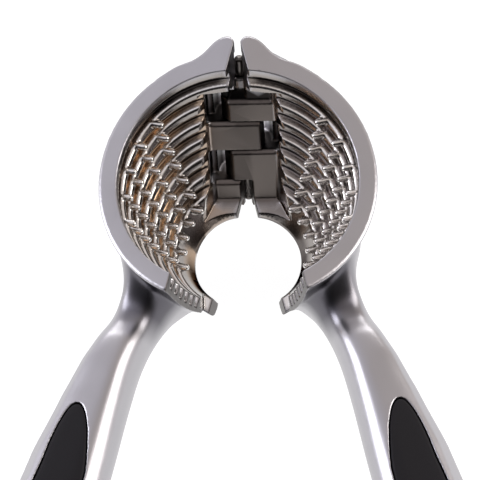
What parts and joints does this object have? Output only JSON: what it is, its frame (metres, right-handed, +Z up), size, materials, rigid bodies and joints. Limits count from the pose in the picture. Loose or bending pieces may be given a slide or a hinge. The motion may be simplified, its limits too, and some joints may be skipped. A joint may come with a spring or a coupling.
{
  "type": "conical nutcracker",
  "caption": "Conical nutcracker: hinged cast metal arms, each half of a ridged, pegged cone with a long oval handle and soft black inlays.",
  "frame": {"origin": "middle of the underside, on the surface that the tool lies on", "axes": "+Y from the handles to the hinge, +X to the right with the cone's mouth up, +Z up out of the cone's mouth"},
  "size_m": [0.136, 0.1788, 0.0448],
  "materials": {
    "cast_metal": "satin chrome-plated die casting, polished inside the cone",
    "pin_steel": "drawn steel pin, plain",
    "soft_inlay": "matte black soft plastic"
  },
  "bodies": {
    "left": {"left_arm": "cast_metal", "hinge_pin": "pin_steel", "left_grip_front": "soft_inlay", "left_grip_back": "soft_inlay"},
    "right": {"right_arm": "cast_metal", "right_grip_front": "soft_inlay", "right_grip_back": "soft_inlay"}
  },
  "joints": [
    {"name": "jaw_hinge", "type": "hinge", "parent": "left", "child": "right", "pos_m": [0, 0.08851, 0.04528], "axis": [0, 0.4678, 0.8838], "range_deg": [-35, 30]}
  ]
}
